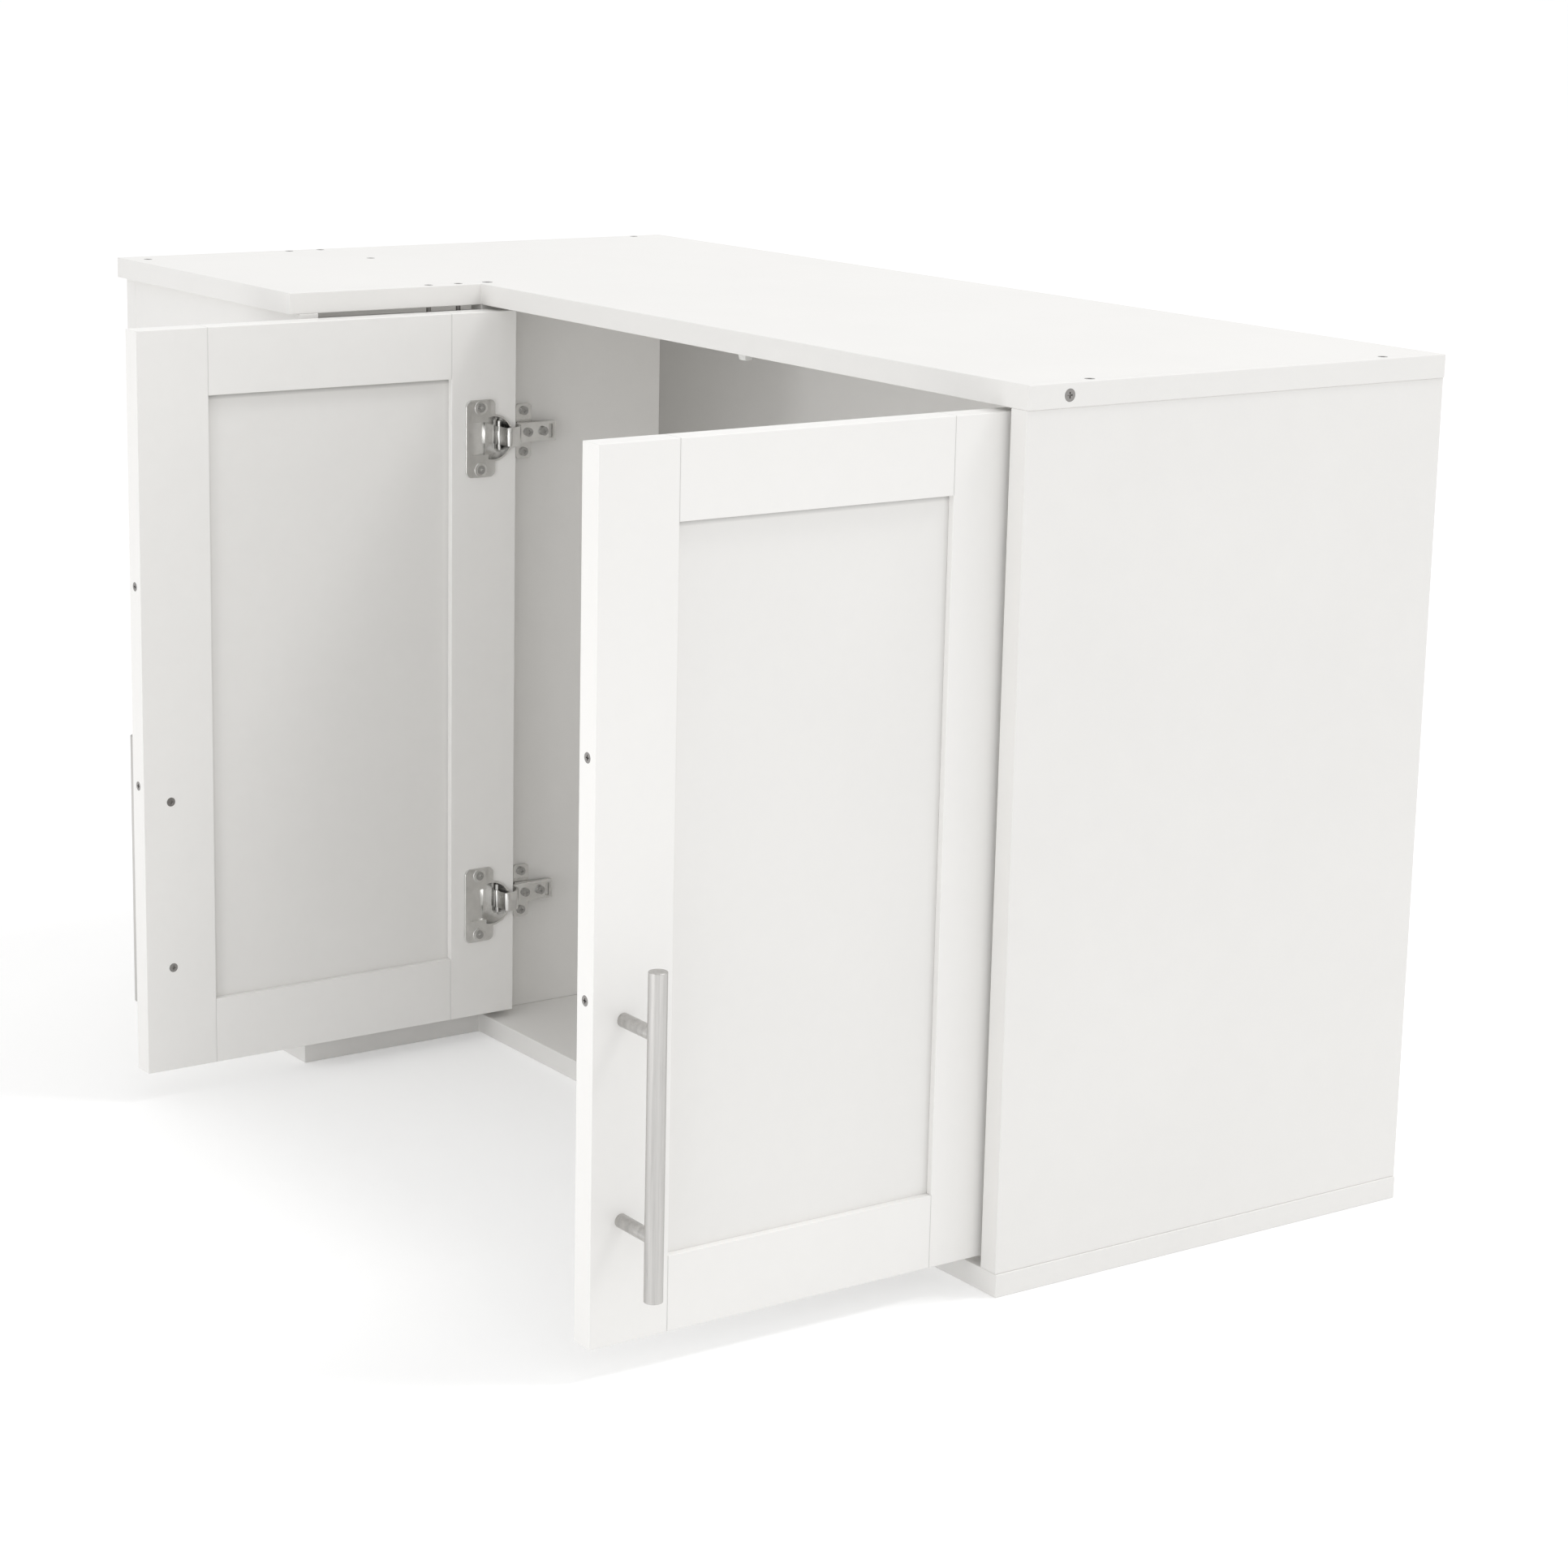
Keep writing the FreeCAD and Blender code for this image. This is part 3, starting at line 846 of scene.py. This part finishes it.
# Stage, in metres, watts and degrees. The fill before the opening hangs below the top
# board, which would mirror it as a white patch towards the back.
CAMERA_PLACE = (2.1847, -1.4329, 0.8851)
CAMERA_TURN = (77.434, -0.986, 55.977)
SENSOR_MM = 36.0
VIEW_END = 100.0
LIT_POINT = (0.0, 0.0, 0.3)
OVERHEAD = {"place": (1.8, 3.0, 6.1), "size": 1.8, "watts": 112.0}
OPENING_FILL = {"place": (0.6, -1.9, 0.32), "size": 0.5, "watts": 3.8}
CORNER_FILL = {"place": (-0.28, 0.12, 0.4), "radius": 0.1, "watts": 0.29}
WORLD_STRENGTH = 0.88
FLOOR_GLOW = 0.22
WHITE = (1.0, 1.0, 1.0, 1.0)


def hang_lamp(name, kind, place, watts):
    """A lamp of one kind and strength at its place."""
    lamp = bpy.data.lights.new(name, kind)
    lamp.energy = watts
    holder = bpy.data.objects.new(name, lamp)
    bpy.context.scene.collection.objects.link(holder)
    holder.location = place
    return lamp, holder


def soft_lamp(name, place, size, watts):
    """A square lamp that looks from its place to the middle of the cabinet."""
    lamp, holder = hang_lamp(name, "AREA", place, watts)
    lamp.shape = "SQUARE"
    lamp.size = size
    holder.rotation_euler = (Vector(LIT_POINT) - Vector(place)).to_track_quat("-Z", "Y").to_euler()


def corner_lamp(name, place, radius, watts):
    """A weak lamp behind the corner post, for the even light of the interior."""
    lamp, _ = hang_lamp(name, "POINT", place, watts)
    lamp.shadow_soft_size = radius


def floor_paint(colour):
    """Diffuse floor that the camera and the metal see a little brighter than it is lit."""
    paint = Paint("floor_paint")
    place = paint.place()
    tone = paint.spread(paint.noise(place, *FLOOR_CLOUD))
    body = paint.blend(tone, *shades(colour, FLOOR_TONES))
    diffuse = paint.node("ShaderNodeBsdfDiffuse", None, {"Color": body}).out("BSDF")
    path = paint.node("ShaderNodeLightPath")
    seen = path.out("Is Camera Ray") + path.out("Is Glossy Ray")
    glow = paint.node("ShaderNodeEmission", None,
                      {"Color": WHITE, "Strength": seen * FLOOR_GLOW}).out("Emission")
    both = paint.node("ShaderNodeAddShader", None, {0: diffuse, 1: glow}).out("Shader")
    paint.node("ShaderNodeOutputMaterial", None, {"Surface": both})
    return paint.material


def white_world(strength):
    """Even surroundings, pure white to the camera and a little dimmer to all other rays."""
    world = bpy.data.worlds.new("studio")
    bpy.context.scene.world = world
    world.use_nodes = True
    nodes, links = world.node_tree.nodes, world.node_tree.links
    nodes.clear()
    path = nodes.new("ShaderNodeLightPath")
    mixed = nodes.new("ShaderNodeMix")
    mixed.data_type = "FLOAT"
    mixed.inputs[FLOAT_FIRST].default_value = strength
    mixed.inputs[FLOAT_SECOND].default_value = 1.0
    back = nodes.new("ShaderNodeBackground")
    back.inputs["Color"].default_value = WHITE
    out = nodes.new("ShaderNodeOutputWorld")
    links.new(path.outputs["Is Camera Ray"], mixed.inputs[MIX_FACTOR])
    links.new(mixed.outputs[FLOAT_RESULT], back.inputs["Strength"])
    links.new(back.outputs["Background"], out.inputs["Surface"])


class CABINET_OT_stage(bpy.types.Operator):
    """Set the floor, lamps and camera"""
    bl_idname = "cabinet.stage"
    bl_label = "Stage"

    def execute(self, context):
        stage = context.scene.cabinet_stage
        bpy.ops.object.select_all(action="DESELECT")
        bpy.ops.mesh.primitive_plane_add(size=stage.floor_size, location=(0.0, 0.0, CAD_BOUNDS[0][2]))
        floor = context.object
        floor.name = "floor"
        bpy.ops.object.transform_apply(location=True, rotation=True, scale=True)
        floor.data.materials.append(floor_paint(context.scene.cabinet_colours.floor))
        white_world(WORLD_STRENGTH)
        soft_lamp("overhead", **OVERHEAD)
        soft_lamp("opening_fill", **OPENING_FILL)
        corner_lamp("corner_fill", **CORNER_FILL)
        camera = bpy.data.cameras.new("camera")
        camera.sensor_width = SENSOR_MM
        camera.sensor_fit = "HORIZONTAL"
        camera.lens = stage.lens
        camera.shift_x = stage.shift_across
        camera.shift_y = stage.shift_up
        camera.clip_end = VIEW_END
        holder = bpy.data.objects.new("camera", camera)
        context.scene.collection.objects.link(holder)
        holder.location = CAMERA_PLACE
        holder.rotation_euler = [math.radians(angle) for angle in CAMERA_TURN]
        context.scene.camera = holder
        context.scene.view_settings.view_transform = "Standard"
        return {"FINISHED"}


class CABINET_PT_sidebar(bpy.types.Panel):
    bl_label = "Corner cabinet"
    bl_idname = "CABINET_PT_sidebar"
    bl_space_type = "VIEW_3D"
    bl_region_type = "UI"
    bl_category = "Cabinet"

    def draw(self, context):
        for group in (context.scene.cabinet_colours, context.scene.cabinet_stage):
            for name in group.__annotations__:
                self.layout.prop(group, name)
        for operator in STEPS:
            self.layout.operator(operator.bl_idname)


STEPS = (
    CABINET_OT_boards, CABINET_OT_doors, CABINET_OT_handles, CABINET_OT_hinges,
    CABINET_OT_screws, CABINET_OT_door_stop, CABINET_OT_stage,
)
CLASSES = (CabinetColours, CabinetStage, *STEPS, CABINET_PT_sidebar)


def register():
    for kind in CLASSES:
        bpy.utils.register_class(kind)
    bpy.types.Scene.cabinet_colours = PointerProperty(type=CabinetColours)
    bpy.types.Scene.cabinet_stage = PointerProperty(type=CabinetStage)


def unregister():
    del bpy.types.Scene.cabinet_stage
    del bpy.types.Scene.cabinet_colours
    for kind in reversed(CLASSES):
        bpy.utils.unregister_class(kind)


def main():
    register()
    for step in STEPS:
        group, name = step.bl_idname.split(".")
        getattr(getattr(bpy.ops, group), name)()


if __name__ == "__main__":
    main()
